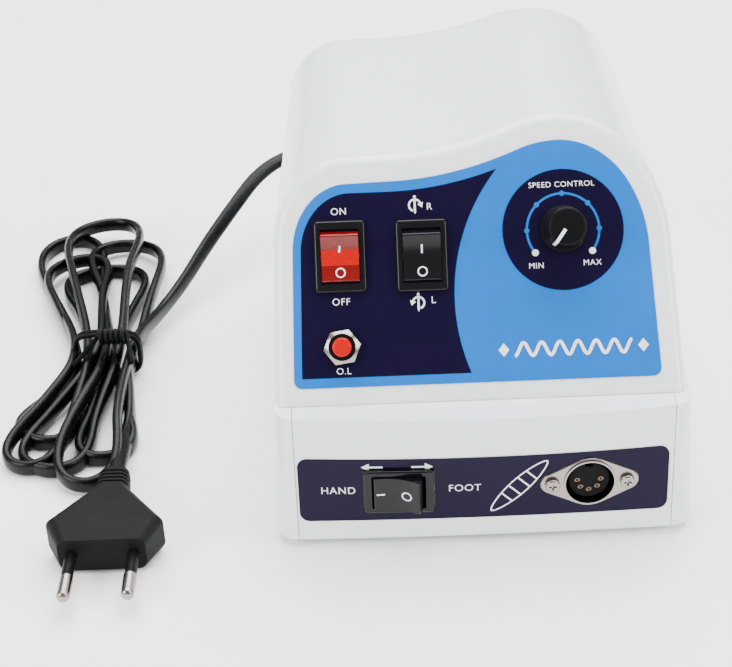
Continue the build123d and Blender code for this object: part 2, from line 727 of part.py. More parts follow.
def hank():
    # outer shape of the tied loops: an upper and a lower lobe with a waist at the tie
    outline = Polyline(
        (-131, 15), (-151, 37), (-161, 79), (-156, 101), (-134, 114), (-115, 107), (-105, 75), (-111, 43),
        (-114, 17), (-118, -6), (-119, -50), (-128, -60), (-147, -51), (-154, -31), (-146, -7), (-131, 15))
    sheet = make_face(outline)
    sheet = fillet(sheet.vertices(), 5)
    solid = extrude(Pos(0, 0, tie_t + 0.1) * sheet, amount=hank_h)
    return fillet(solid.faces().sort_by(Axis.Z)[-1].outer_wire().edges(), 2.5)


def twist_tie():
    top = tie_t + 0.2 + hank_h
    ring = block(tie_x0 - tie_t, tie_x1 + tie_t, tie_y - tie_w / 2, tie_y + tie_w / 2, 0, top + tie_t)
    ring = ring - block(tie_x0, tie_x1, tie_y - tie_w, tie_y + tie_w, tie_t, top)
    middle = Pos(knot_x, tie_y, top + tie_t + 0.8 * knot_r)
    turns = [middle * Pos(1.6 * i, 0, 0) * Rot(0, 90, 0) * Cylinder(knot_r, 1.0) for i in range(-2, 3)]
    return ring + join(turns) + middle * Pos(0, 0, -0.4 * knot_r) * Box(8, 1.6, 1.4)


# ---- plug ----
def plug_body():
    def across(y):
        return Plane(origin=(plug_x, y, plug_z), x_dir=(1, 0, 0), z_dir=(0, -1, 0))

    end = plug_face + plug_l
    throat = across(end - plug_neck_l) * RectangleRounded(10.6, 10.0, 3.0)
    shoulder = across(end - plug_neck_l - 8) * RectangleRounded(21.0, 12.4, 3.4)
    widest = across(plug_face + 9.5) * RectangleRounded(plug_w, plug_h, 3.6)
    face = across(plug_face) * RectangleRounded(plug_w - 9, plug_h - 2.4, 3.0)
    body = loft([throat, shoulder, widest, face], ruled=True)
    neck = loft([across(end) * RectangleRounded(9.2, 8.6, 3.0), throat])
    ring = Rectangle(14, 14) - RectangleRounded(8.0, 7.4, 2.4)
    grooves = [extrude(across(end - 1.6 - 1.9 * i) * ring, amount=0.9) for i in range(4)]
    sockets = [pin_place(side) * cylinder(sleeve_r + 0.02, -pin_root, 1) for side in (-1, 1)]
    return body + neck - join(grooves) - join(sockets)


def pin_place(side):
    return Plane(origin=(plug_x + side * pin_pitch / 2, plug_face, plug_z), x_dir=(1, 0, 0), z_dir=(0, -1, 0))


def plug_pins():
    metal = cylinder(pin_r, sleeve_l, pin_l)
    metal = fillet(metal.edges().sort_by(Axis.Z)[-1], 1.6)
    core = cylinder(pin_core_r, -pin_root, sleeve_l)
    return group([pin_place(side) * (metal + core) for side in (-1, 1)])


def plug_sleeves():
    return group([pin_place(side) * tube(sleeve_r, pin_core_r, -pin_root, sleeve_l) for side in (-1, 1)])


def build():
    nodes["upper_housing"] = upper_housing()
    nodes["lower_housing"] = lower_housing()
    nodes["front_fascia"] = front_fascia()
    nodes["base_plate"] = base_plate()
    nodes["rubber_feet"] = rubber_feet()
    nodes["case_screws"] = case_screws()
    nodes["panel_label"] = panel_label()
    nodes["fascia_label"] = fascia_label()
    for name in switch_names:
        nodes[name + "_switch_body"] = frames[name] * switch_body()
        joints[name + "_rocker"] = (frames[name].origin + frames[name].z_dir * pivot_low, frames[name].x_dir)
    band, lens = rocker(True)
    nodes["power_rocker_core"] = frames["power"] * band
    nodes["power_rocker_lens"] = frames["power"] * group([lens])
    nodes["direction_rocker"] = frames["direction"] * rocker(False)
    nodes["mode_rocker"] = frames["mode"] * rocker(False)
    nodes["switch_terminals"] = terminals()
    knob_frame = dial_frame * Rot(0, 0, -knob_rest)
    nodes["speed_knob"] = knob_frame * speed_knob()
    nodes["knob_pointer"] = knob_frame * knob_pointer()
    nodes["pot_shaft"] = dial_frame * pot_shaft()
    nodes["pot_bushing"] = dial_frame * pot_bushing()
    nodes["pot_body"] = dial_frame * pot_body()
    joints["speed_knob"] = (dial_frame.origin, dial_frame.z_dir)
    nodes["reset_breaker"] = reset_frame * reset_body()
    nodes["reset_nut"] = reset_frame * Rot(0, 0, 8) * reset_nut()
    nodes["reset_button"] = reset_frame * reset_button()
    nodes["reset_spring"] = reset_frame * reset_spring()
    joints["reset_button"] = (reset_frame.origin, reset_frame.z_dir)
    nodes["socket_shell"] = socket_frame * socket_shell()
    nodes["socket_insert"] = socket_frame * socket_insert()
    nodes["socket_contacts"] = socket_frame * socket_contacts()
    nodes["socket_screws"] = socket_screws()
    nodes["socket_nuts"] = socket_nuts()
    nodes["cord_gland"] = rear_frame(*gland_at) * cord_gland()
    nodes["foot_jack"] = rear_frame(*jack_at) * foot_jack()
    nodes["foot_jack_nut"] = rear_frame(*jack_at) * foot_jack_nut()
    nodes["fuse_holder"] = rear_frame(*fuse_at) * fuse_holder()
    nodes["fuse_carrier"] = rear_frame(*fuse_at) * fuse_carrier()
    nodes["glass_fuse"] = rear_frame(*fuse_at) * glass_fuse()
    joints["fuse_carrier"] = (rear_frame(*fuse_at).origin, Vector(0, 1, 0))
    seat = Pos(transformer_x, back_y - transformer_in, plate_z)
    nodes["transformer_core"] = seat * transformer_core()
    nodes["transformer_coil"] = seat * transformer_coil()
    nodes["transformer_bracket"] = seat * transformer_bracket()
    seat = Pos(pcb_x, back_y - pcb_in, plate_z)
    nodes["control_board"] = seat * control_board()
    nodes["board_pillars"] = seat * board_pillars()
    nodes["board_screws"] = seat * board_screws()
    nodes["heat_sink"] = seat * heat_sink()
    nodes["power_transistor"] = seat * on_board(0, -33.2, block(-5, 5, -2.2, 2.1, 4, 20))
    nodes["capacitors"] = seat * capacitors()
    nodes["bridge_rectifier"] = seat * on_board(0, 18, block(-10, 10, -2, 2, 2, 16))
    nodes["terminal_block"] = seat * on_board(0, 28, block(-9, 9, -4, 4, 0, 9))
    nodes["power_cord"] = round_route(lead_route, cord_r)
    nodes["cord_tail"] = round_route(tail_route, cord_r)
    nodes["cord_hank"] = hank()
    nodes["twist_tie"] = twist_tie()
    nodes["plug_body"] = plug_body()
    nodes["plug_pins"] = plug_pins()
    nodes["plug_sleeves"] = plug_sleeves()


build()
cord_nodes = ["power_cord", "cord_tail", "cord_hank", "twist_tie", "plug_body", "plug_pins", "plug_sleeves"]
solid_nodes = [nodes[name] for name in nodes if name not in cord_nodes]
whole = Compound(children=[s for node in solid_nodes for s in node.solids()]).bounding_box()
print("box without the cord", whole.min, whole.max)
for name, node in nodes.items():
    export_step(node, "parts/" + name + ".step")
for name, (place, axis) in joints.items():
    print("joint %s at (%.3f, %.3f, %.3f) along (%.5f, %.5f, %.5f)" % (name, *place, *axis))
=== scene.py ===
import json
import math

import bmesh
import bpy
import numpy as np
from mathutils import Matrix, Vector


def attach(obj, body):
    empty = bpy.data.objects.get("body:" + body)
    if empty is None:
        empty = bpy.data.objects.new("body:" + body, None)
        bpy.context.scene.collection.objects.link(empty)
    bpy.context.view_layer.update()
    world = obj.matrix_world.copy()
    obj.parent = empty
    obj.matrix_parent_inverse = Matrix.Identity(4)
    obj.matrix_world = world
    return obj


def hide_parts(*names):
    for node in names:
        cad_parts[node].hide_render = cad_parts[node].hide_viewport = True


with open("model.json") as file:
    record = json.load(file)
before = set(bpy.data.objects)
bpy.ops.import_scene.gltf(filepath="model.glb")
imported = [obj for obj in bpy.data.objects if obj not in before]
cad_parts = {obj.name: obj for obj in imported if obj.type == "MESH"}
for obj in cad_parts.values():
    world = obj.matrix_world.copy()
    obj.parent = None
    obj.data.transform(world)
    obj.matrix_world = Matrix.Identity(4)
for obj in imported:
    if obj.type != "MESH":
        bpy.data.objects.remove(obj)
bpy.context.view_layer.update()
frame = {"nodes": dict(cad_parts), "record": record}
mm = 0.001

# a long lens looking down on the front
cameraLook = {"place": (-29.47, -474.76, 336.15), "yaw": -0.53, "pitch": 33.39, "roll": -2.52, "lens": 83.6}


def makeCamera(look):
    yaw, pitch, roll = (math.radians(look[k]) for k in ("yaw", "pitch", "roll"))
    ahead = Vector((math.sin(yaw) * math.cos(pitch), math.cos(yaw) * math.cos(pitch), -math.sin(pitch)))
    right = Vector((math.cos(yaw), -math.sin(yaw), 0))
    up = right.cross(ahead)
    turnedRight = right * math.cos(roll) + up * math.sin(roll)
    turnedUp = up * math.cos(roll) - right * math.sin(roll)
    camera = bpy.data.objects.new("camera", bpy.data.cameras.new("camera"))
    bpy.context.collection.objects.link(camera)
    camera.matrix_world = Matrix((turnedRight, turnedUp, -ahead)).transposed().to_4x4()
    camera.location = Vector(look["place"]) * mm
    camera.data.lens = look["lens"]
    camera.data.sensor_width = 36
    camera.data.clip_start = 0.01
    bpy.context.scene.camera = camera


makeCamera(cameraLook)
print("camera placed")


def newMesh(name, points, faces, smooth=True):
    mesh = bpy.data.meshes.new(name)
    mesh.from_pydata(np.asarray(points, float).reshape(-1, 3).tolist(), [], faces)
    mesh.polygons.foreach_set("use_smooth", np.full(len(mesh.polygons), smooth))
    mesh.update()
    piece = bpy.data.objects.new(name, mesh)
    bpy.context.collection.objects.link(piece)
    return piece


def gridFaces(rows, columns, closed):
    # quads between neighbouring points of a grid, its columns joined round when closed
    r, c = np.meshgrid(np.arange(rows - 1), np.arange(columns - (0 if closed else 1)), indexing="ij")
    a, b = r * columns + c, r * columns + (c + 1) % columns
    return np.stack([a, b, b + columns, a + columns], -1).reshape(-1, 4).tolist()


def carried(name, path, section, wide):
    # a section carried along a path: point(s, t) = path(s) + section x(t) * wide(s) + section y(t) * thick(s)
    path, wide = np.asarray(path, float), np.asarray(wide, float)
    along = np.gradient(path, axis=0)
    along /= np.linalg.norm(along, axis=1)[:, None]
    wide = wide - along * (wide * along).sum(1)[:, None]
    wide /= np.linalg.norm(wide, axis=1)[:, None]
    thick = np.cross(along, wide)
    x, y = np.asarray(section, float).T
    points = path[:, None] + wide[:, None] * x[None, :, None] + thick[:, None] * y[None, :, None]
    rows, columns = points.shape[:2]
    faces = gridFaces(rows, columns, True)
    faces.append(list(range(columns))[::-1])
    faces.append(list(range((rows - 1) * columns, rows * columns)))
    piece = newMesh(name, points, faces)
    layer = piece.data.uv_layers.new(name="run")
    corner = np.zeros(len(piece.data.loops), np.int32)
    piece.data.loops.foreach_get("vertex_index", corner)
    far = np.concatenate([[0], np.cumsum(np.linalg.norm(np.diff(path, axis=0), axis=1))])
    uv = np.stack([far[corner // columns] / 0.01, (corner % columns) / columns], -1)
    layer.data.foreach_set("uv", uv.astype(np.float32).ravel())
    fixNormals(piece)
    return piece


def fixNormals(piece):
    # faces turned outwards
    work = bmesh.new()
    work.from_mesh(piece.data)
    bmesh.ops.recalc_face_normals(work, faces=work.faces)
    work.to_mesh(piece.data)
    work.free()


def ovalSection(width, height, count):
    # superellipse of exponent 2.6, close to a flat two-core cord
    t = np.arange(count) * 2 * np.pi / count
    c, s = np.cos(t), np.sin(t)
    power = 2 / 2.6
    x, y = np.sign(c) * np.abs(c) ** power, np.sign(s) * np.abs(s) ** power
    return np.stack([x * width / 2, y * height / 2], -1)


# the mains cord's lead, tied hank and tail are one spline
cord = {"width": 5.4, "height": 3.2, "length": 1.72, "exit": (-35.0, 86.3, 34.0)}
leadRoute = [
    (-35.0, 86.3, 34.0), (-35.0, 99.0, 34.0), (-43.5, 110.5, 35.0), (-59.0, 114.0, 33.6),
    (-73.0, 107.5, 29.0), (-83.0, 93.0, 22.0), (-93.0, 78.0, 14.4), (-100.5, 63.0, 8.4),
    (-107.0, 48.5, 6.2), (-111.0, 36.0, 7.4), (-113.8, 25.5, 9.6),
]
tailRoute = [
    (-116.0, 6.0, 8.0), (-114.2, -7.0, 5.0), (-112.9, -21.0, 3.6), (-114.0, -36.0, 5.8), (-114.0, -52.2, 7.2),
]
hank = {
    "tie": (-124.0, 15.5),
    "columns": (-132.2, -128.9, -125.6, -122.3, -119.0, -115.8),   # strands side by side in the tie
    "layers": (4.0, 9.4),
    "strands": ((5, 1), (3, 1), (0, 1), (1, 1), (4, 1), (2, 1), (0, 0), (1, 0), (2, 0), (3, 0), (5, 0)),
    # each loop: tip x and y, width, sideways bow, height half way and at the tip
    # every other loop points to the front
    "loops": (
        (-124.5, -51, 19, -2, 9.5, 3.2), (-149, 105, 24, -2, 3.4, 2.9), (-147, -40, 18, 2, 7.0, 2.9),
        (-133.5, 110, 27, -3, 12.0, 7.0), (-138, -42, 22, -2, 3.4, 2.9), (-143, 86, 23, -2, 7.6, 5.0),
        (-144, -26, 19, 0, 2.9, 2.9), (-133, 81, 30, 2, 4.2, 2.9), (-120, -37, 18, 1, 3.6, 2.9),
        (-127, 98, 27, 2, 7.6, 4.0),
    ),
}


def strandAt(number):
    column, layer = hank["strands"][number]
    return hank["columns"][column], hank["layers"][layer]


def hankLoop(number):
    # a drop shape: far = sine^0.55 out to the tip, across = half the width times a double sine, plus a bow
    tipX, tipY, width, bow, halfZ, tipZ = hank["loops"][number]
    (x0, z0), (x1, z1) = strandAt(number), strandAt(number + 1)
    tieX, tieY = hank["tie"]
    t = np.arange(1, 10) / 10
    far = np.sin(np.pi * t) ** 0.55
    out = np.array([tipX - tieX, tipY - tieY])
    side = np.array([out[1], -out[0]]) / np.hypot(*out) * np.sign(out[1])
    across = -np.sign(x1 - x0) * width / 2 * np.sin(2 * np.pi * t) + bow * 4 * far * (1 - far)
    start = x0 + (x1 - x0) * t - tieX
    x = tieX + out[0] * far + side[0] * across + start * (1 - far)
    y = tieY + out[1] * far + side[1] * across
    low = np.where(t < 0.5, z0, z1)
    z = np.where(far < 0.62, low + (halfZ - low) * far / 0.62, halfZ + (tipZ - halfZ) * (far - 0.62) / 0.38)
    return np.stack([x, y, z], -1).tolist()


def cordPoints():
    points = list(leadRoute)
    for number in range(len(hank["loops"]) + 1):
        x, z = strandAt(number)
        points.append((x, hank["tie"][1], z))
        if number < len(hank["loops"]):
            points += hankLoop(number)
    return np.array(points + list(tailRoute)) * mm


def splineLine(name, points, resolution):
    curve = bpy.data.curves.new(name, "CURVE")
    curve.dimensions = "3D"
    spline = curve.splines.new("NURBS")
    spline.points.add(len(points) - 1)
    spline.points.foreach_set("co", np.c_[points, np.ones(len(points))].ravel())
    spline.order_u = 3
    spline.use_endpoint_u = True
    spline.resolution_u = resolution
    holder = bpy.data.objects.new(name, curve)
    mesh = bpy.data.meshes.new_from_object(holder)
    line = np.zeros(len(mesh.vertices) * 3)
    mesh.vertices.foreach_get("co", line)
    bpy.data.meshes.remove(mesh)
    bpy.data.objects.remove(holder)
    bpy.data.curves.remove(curve)
    return line.reshape(-1, 3)


def cordWidthWay(line):
    # the wide side stands up in the hank and lies flat at the gland and in the plug
    far = np.concatenate([[0], np.cumsum(np.linalg.norm(np.diff(line, axis=0), axis=1))])
    flatStart = 1 - np.clip(far / 0.15, 0, 1)
    flatEnd = 1 - np.clip((far[-1] - far) / 0.05, 0, 1)
    turn = np.radians(90) * (flatStart ** 2 * (3 - 2 * flatStart) + flatEnd ** 2 * (3 - 2 * flatEnd))
    along = np.gradient(line, axis=0)
    along /= np.linalg.norm(along, axis=1)[:, None]
    up = np.array([0, 0, 1.0]) - along * along[:, 2:]
    up /= np.linalg.norm(up, axis=1)[:, None]
    side = np.cross(along, up)
    return up * np.cos(turn)[:, None] + side * np.sin(turn)[:, None]


cordLine = splineLine("cordLine", cordPoints(), 8)
cordSection = ovalSection(cord["width"] * mm, cord["height"] * mm, 20)
mainsCord = carried("mains_cord", cordLine, cordSection, cordWidthWay(cordLine))
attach(mainsCord, "housing")
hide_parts("power_cord", "cord_hank", "cord_tail")
print("cord laid")

# tie wire: two turns round the waist of the hank, a coiled knot and two ends
tieWire = {
    "radius": 0.8, "low": 1.0, "high": 16.6, "left": -135.0, "right": -112.6, "knot": (-121.0, 13.0, 17.4),
}


def tiePath():
    # rounded square loop twice, its turns a wire apart
    t = np.linspace(0, 2, 97)
    a = 2 * np.pi * t - np.pi / 2
    middleX, halfX = (tieWire["left"] + tieWire["right"]) / 2, (tieWire["right"] - tieWire["left"]) / 2
    middleZ, halfZ = (tieWire["low"] + tieWire["high"]) / 2, (tieWire["high"] - tieWire["low"]) / 2
    c, s = np.cos(a), np.sin(a)
    square = (np.abs(c) ** 4 + np.abs(s) ** 4) ** -0.25
    y = hank["tie"][1] - 1.0 + 2.0 * t
    return np.stack([middleX + halfX * c * square, y, middleZ + halfZ * s * square], -1)


def knotPath():
    # helix of five close turns with its axis across the hank, between two loose ends
    x, y, z = tieWire["knot"]
    t = np.linspace(0, 5, 121)
    a = 2 * np.pi * t
    coil = np.stack([x - 4.5 + 1.8 * t, y + 2.0 * np.cos(a), z + 2.0 * np.sin(a)], -1)
    ends = np.linspace(0, 1, 14)[:, None]
    first = coil[0] + np.array([-9.0, -9.0, -7.0]) * (1 - ends[:-1]) ** 0.8
    last = coil[-1] + np.array([2.5, -10.0, -6.0]) * ends[1:] ** 1.2
    return np.concatenate([first, coil, last])


def makeTie():
    round16 = ovalSection(2 * tieWire["radius"] * mm, 2 * tieWire["radius"] * mm, 12)
    for name, path in (("tie_band", tiePath() * mm), ("tie_knot", knotPath() * mm)):
        wide = np.tile([0.31, 0.94, 0.11], (len(path), 1))
        piece = carried(name, path, round16, wide)
        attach(piece, "housing")
        yield piece


tiePieces = list(makeTie())
for tiePiece in tiePieces:
    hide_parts("twist_tie")
tuple(v * mm for v in cord["exit"])
print("tie wound")


class Nodes:
    # short way to add and join shader nodes
    def __init__(self, material):
        self.tree = material.node_tree
        self.shader = self.tree.nodes["Principled BSDF"]

    def add(self, kind, **settings):
        node = self.tree.nodes.new("ShaderNode" + kind)
        for key, value in settings.items():
            if hasattr(node, key):
                setattr(node, key, value)
            else:
                node.inputs[key.replace("_", " ")].default_value = value
        return node

    def join(self, out, into):
        self.tree.links.new(out, into)


def finish(name, colour, rough, grain, tone, spread, bump, stretch=(1, 1, 1), **sockets):
    # cloudy tone and roughness from two noises, and a fine bump whose size is the grain in millimetres
    material = bpy.data.materials.new(name)
    material.use_nodes = True
    n = Nodes(material)
    place = n.add("TexCoord")
    turn = n.add("Mapping")
    turn.inputs["Scale"].default_value = stretch
    n.join(place.outputs["Object"], turn.inputs["Vector"])
    cloud = n.add("TexNoise", Scale=60.0, Detail=4.0)
    fine = n.add("TexNoise", Scale=1000.0 / grain, Detail=2.0)
    for noise in (cloud, fine):
        n.join(turn.outputs["Vector"], noise.inputs["Vector"])
    ramp = n.add("ValToRGB")
    for element, factor in zip(ramp.color_ramp.elements, (1 - tone, 1 + tone)):
        element.color = [min(1.0, c * factor) for c in colour] + [1]
    ramp.color_ramp.elements[0].position, ramp.color_ramp.elements[1].position = 0.3, 0.7
    n.join(cloud.outputs["Fac"], ramp.inputs["Fac"])
    n.join(ramp.outputs["Color"], n.shader.inputs["Base Color"])
    dull = n.add("MapRange")
    dull.inputs["To Min"].default_value, dull.inputs["To Max"].default_value = rough - spread, rough + spread
    n.join(fine.outputs["Fac"], dull.inputs["Value"])
    n.join(dull.outputs["Result"], n.shader.inputs["Roughness"])
    relief = n.add("Bump", Strength=bump, Distance=0.0002)
    n.join(fine.outputs["Fac"], relief.inputs["Height"])
    n.join(relief.outputs["Normal"], n.shader.inputs["Normal"])
    for socket, value in sockets.items():
        n.shader.inputs[socket.replace("_", " ")].default_value = value
    return material


# each finish: name, colour, roughness, grain in mm, spread of tone, spread of roughness, bump
finishes = {
    "white_abs": finish("whiteAbs", (0.86, 0.87, 0.88), 0.22, 0.5, 0.01, 0.04, 0.03,
                        Coat_Weight=0.35, Coat_Roughness=0.08),
    "panel_blue": finish("panelBlue", (0.0, 0.125, 0.48), 0.3, 0.3, 0.03, 0.04, 0.03,
                         Specular_IOR_Level=0.12),
    "strip_navy": finish("stripNavy", (0.0045, 0.0018, 0.018), 0.3, 0.3, 0.05, 0.05, 0.04,
                         Specular_IOR_Level=0.12),
    "black_gloss": finish("blackGloss", (0.004, 0.0036, 0.0045), 0.2, 0.4, 0.05, 0.05, 0.03,
                          Specular_IOR_Level=0.25),
    "black_satin": finish("blackSatin", (0.0045, 0.0045, 0.0049), 0.4, 0.3, 0.1, 0.06, 0.2,
                          Specular_IOR_Level=0.06),
    "red_lens": finish("redLens", (0.3, 0.0008, 0.0008), 0.12, 0.4, 0.04, 0.03, 0.02,
                       Transmission_Weight=0.5, IOR=1.49),
    "red_cap": finish("redCap", (0.42, 0.0006, 0.0004), 0.25, 0.4, 0.04, 0.04, 0.03, Specular_IOR_Level=0.15),
    "nickel": finish("nickel", (0.31, 0.275, 0.255), 0.22, 0.15, 0.05, 0.06, 0.05, Metallic=1.0),
    "steel": finish("zincSteel", (0.45, 0.45, 0.46), 0.33, 0.1, 0.06, 0.06, 0.08, Metallic=1.0),
    "brass": finish("tinnedBrass", (0.16, 0.12, 0.07), 0.28, 0.15, 0.06, 0.05, 0.05, Metallic=1.0),
    "white_print": finish("whitePrint", (0.85, 0.86, 0.88), 0.35, 0.2, 0.02, 0.04, 0.03),
    "lamination": finish("lamination", (0.25, 0.25, 0.27), 0.45, 0.5, 0.15, 0.08, 0.5, (1, 8, 1),
                         Metallic=0.8),
    "coil_tape": finish("coilTape", (0.72, 0.5, 0.08), 0.38, 1.0, 0.08, 0.06, 0.3, (1, 1, 6)),
    "board_green": finish("boardGreen", (0.02, 0.16, 0.06), 0.35, 0.8, 0.12, 0.05, 0.1),
    "aluminium": finish("aluminium", (0.7, 0.71, 0.73), 0.34, 0.1, 0.06, 0.06, 0.15, (1, 1, 6), Metallic=1.0),
    "can_blue": finish("canSleeve", (0.02, 0.05, 0.3), 0.25, 0.4, 0.06, 0.04, 0.03),
    "clear_glass": finish("clearGlass", (0.95, 0.97, 0.97), 0.08, 0.5, 0.01, 0.02, 0.01,
                          Transmission_Weight=0.95, IOR=1.5),
    "rubber_black": finish("rubberBlack", (0.005, 0.005, 0.0052), 0.6, 0.4, 0.15, 0.08, 0.35,
                           Specular_IOR_Level=0.1),
    "cord_pvc": finish("cordPvc", (0.0025, 0.0025, 0.0027), 0.26, 0.6, 0.12, 0.06, 0.08,
                       Specular_IOR_Level=0.17),
}


def ribbedAlong(material):
    # faint lines along the cord from its extrusion, on the cord's own map
    n = Nodes(material)
    place = n.add("UVMap", uv_map="run")
    split = n.add("SeparateXYZ")
    n.join(place.outputs["UV"], split.inputs["Vector"])
    lines = n.add("Math", operation="SINE")
    many = n.add("Math", operation="MULTIPLY")
    many.inputs[1].default_value = 2 * math.pi * 36
    n.join(split.outputs["Y"], many.inputs[0])
    n.join(many.outputs["Value"], lines.inputs[0])
    relief = n.add("Bump", Strength=0.15, Distance=0.00005)
    old = n.shader.inputs["Normal"].links[0].from_socket
    n.join(lines.outputs["Value"], relief.inputs["Height"])
    n.join(old, relief.inputs["Normal"])
    n.join(relief.outputs["Normal"], n.shader.inputs["Normal"])


ribbedAlong(finishes["cord_pvc"])


def dress(piece, slot):
    piece.data.materials.clear()
    piece.data.materials.append(finishes[slot])


for part in frame["record"]["subparts"]:
    cadNode = frame["nodes"][part["node"]]
    if cadNode.material_slots:
        for place in cadNode.material_slots:
            place.material = finishes[part["material_slot"]]
    else:
        cadNode.data.materials.append(finishes[part["material_slot"]])
dress(mainsCord, "cord_pvc")
for tiePiece in tiePieces:
    dress(tiePiece, "black_satin")
print("finishes made")

# where the sloping label and the front lie, in millimetres and degrees
panel = {"creaseY": -70.9, "creaseZ": 44.8, "lean": 34.4, "film": 0.3, "lift": 0.05}
slope = math.radians(panel["lean"])


def onPanel(flat, lift):
    # u to the right, v up the slope, all in millimetres above the label film
    u, v = np.asarray(flat, float).T[:2]
    h = panel["film"] + lift
    y = panel["creaseY"] + v * math.sin(slope) - h * math.cos(slope)
    z = panel["creaseZ"] + v * math.cos(slope) + h * math.sin(slope)
    return np.stack([u, y, z], -1) * mm


front = {
    "foot": 2.4, "ledge": 44.8, "y": -81.7, "lean": 1.7, "sagLow": 0.7, "sagHigh": 3.5,
    "edge": 56.0, "film": 0.3,
}


def onFront(flat, lift):
    # x to the right, z up, on the bowed and leaning front
    x, z = np.asarray(flat, float).T[:2]
    up = (z - front["foot"]) / (front["ledge"] - front["foot"])
    sag = front["sagLow"] + (front["sagHigh"] - front["sagLow"]) * up
    y = front["y"] + front["lean"] * up + sag * (x / front["edge"]) ** 2 - front["film"] - lift
    return np.stack([x, y, z], -1) * mm


def printed(name, flat, faces, where, lift, slot):
    piece = newMesh(name, where(flat, lift), faces, False)
    fixFacing(piece)
    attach(piece, "housing")
    dress(piece, slot)


def fixFacing(piece):
    # every printed face looks to the front or up
    normals = np.zeros(len(piece.data.polygons) * 3)
    piece.data.polygons.foreach_get("normal", normals)
    if normals.reshape(-1, 3)[:, 1].mean() > 0:
        piece.data.flip_normals()


def ribbonFlat(line, width):
    # a flat band: line(s) +- half the width along its own normal
    line = np.asarray(line, float)
    along = np.gradient(line, axis=0)
    along /= np.linalg.norm(along, axis=1)[:, None]
    side = np.stack([-along[:, 1], along[:, 0]], -1) * width / 2
    return np.stack([line + side, line - side], 1).reshape(-1, 2), gridFaces(len(line), 2, False)


def arcLine(centre, radius, start, stop, count=49):
    a = np.radians(np.linspace(start, stop, count))
    return np.stack([centre[0] + radius * np.cos(a), centre[1] + radius * np.sin(a)], -1)


def merged(shapes):
    points, faces = [], []
    for p, f in shapes:
        base = sum(len(q) for q in points)
        points.append(np.asarray(p, float))
        faces += [[i + base for i in face] for face in f]
    return np.concatenate(points), faces


def disc(centre, radius, count=48):
    return arcLine(centre, radius, 0, 360 * (1 - 1 / count), count), [list(range(count))]


def polygon(points):
    return np.asarray(points, float), [list(range(len(points)))]


def letters(word, size, centre):
    # the outline font's letters as flat faces about a centre, a little thinned and spaced out
    curve = bpy.data.curves.new(word, "FONT")
    curve.body, curve.size, curve.align_x, curve.align_y = word, size, "CENTER", "CENTER"
    curve.space_character = 1.1
    curve.resolution_u = 6
    curve.offset = -size * 0.004
    holder = bpy.data.objects.new(word, curve)
    mesh = bpy.data.meshes.new_from_object(holder)
    flat = np.zeros(len(mesh.vertices) * 3)
    mesh.vertices.foreach_get("co", flat)
    faces = [list(p.vertices) for p in mesh.polygons]
    bpy.data.meshes.remove(mesh)
    bpy.data.objects.remove(holder)
    bpy.data.curves.remove(curve)
    return flat.reshape(-1, 3)[:, :2] + np.array(centre), faces


# the wavy outline of the label above the crease, seen from the front
wave = {
    "left": -55.1, "top": 54.9, "waveX": -26.5, "shoulder": 17.0, "hollow": 119.0, "crest": 38.0,
    "turn": 19.1, "fall": 25.5, "fallTurn": 55.0, "flank": 30.0, "leanLeft": 0.8, "leanRight": 3.0, "low": 5.4,
    "taper": 1.5, "halfWide": 55.0, "full": 50.0,   # the hood narrows to the back by the taper's angle
}


def waveOutline(inset):
    # a pen that walks up the left side, round the shoulder, over the wave and down the right side
    w = wave
    foot = w["low"] * math.cos(slope) + inset
    leftSlope = math.tan(math.radians(w["leanLeft"]))
    top = w["top"] - w["shoulder"]
    spots = [np.array([w["left"] + inset + foot * leftSlope, foot])]
    here, heading = np.array([w["left"] + inset + top * leftSlope, top]), 90 - w["leanLeft"]
    # radius and turn of each bend, where a radius of 0 is a level run as far as waveX
    steps = [(w["shoulder"] - inset, -(90 - w["leanLeft"])), (0, 0), (w["hollow"] + inset, w["turn"]),
             (w["crest"] - inset, -w["turn"]), (w["fall"] - inset, -w["fallTurn"]),
             (w["flank"] - inset, w["fallTurn"] + w["leanRight"] - 90)]
    for radius, turn in steps:
        if radius == 0:
            here = np.array([w["waveX"], here[1]])
            spots.append(here)
            continue
        a = np.radians(heading + np.linspace(0, turn, 49))
        sign = math.copysign(1, turn)
        centre = here + sign * radius * np.array([-math.sin(a[0]), math.cos(a[0])])
        spots += list(centre - sign * radius * np.stack([-np.sin(a), np.cos(a)], -1))
        here, heading = spots[-1], heading + turn
    drop = here[1] - foot
    spots.append(here + np.array([drop * math.tan(math.radians(w["leanRight"])), -drop]))
    flat = np.array(spots)
    draw = flat[:, 1] * math.tan(slope) * math.tan(math.radians(w["taper"]))
    across = flat[:, 0] * (1 - draw / w["halfWide"])
    high = (flat[:, 1] - draw * np.clip(flat[:, 1] / w["full"], 0, 1)) / math.cos(slope)
    return np.stack([across, high], -1)


panelArt = {
    "border": 2.4, "divide": (52.0, 30.0, 59.0), "dial": (25.5, 49.2), "disc": 17.75,
    "scale": 10.6, "scaleLine": 0.7, "bead": 0.8, "endDot": 1.0, "from": 218.0, "to": -38.0,
}


def navyField():
    # the label's inner outline, kept left of the dividing arc
    outline = waveOutline(panelArt["border"])
    cx, cy, r = panelArt["divide"]
    keep = outline[np.hypot(outline[:, 0] - cx, outline[:, 1] - cy) > r]
    keep = keep[keep[:, 0] < 20]
    high, low = keep[-1], keep[0]
    up = math.degrees(math.atan2(high[1] - cy, high[0] - cx))
    down = math.degrees(math.asin((low[1] - cy) / r))
    arc = arcLine((cx, cy), r, up, 180 - down if down < 0 else down, 40)
    return polygon(np.concatenate([keep, arc]))


def dialScale():
    # thin arc round the knob
    line = arcLine(panelArt["dial"], panelArt["scale"], panelArt["from"], panelArt["to"], 121)
    return ribbonFlat(line, panelArt["scaleLine"])


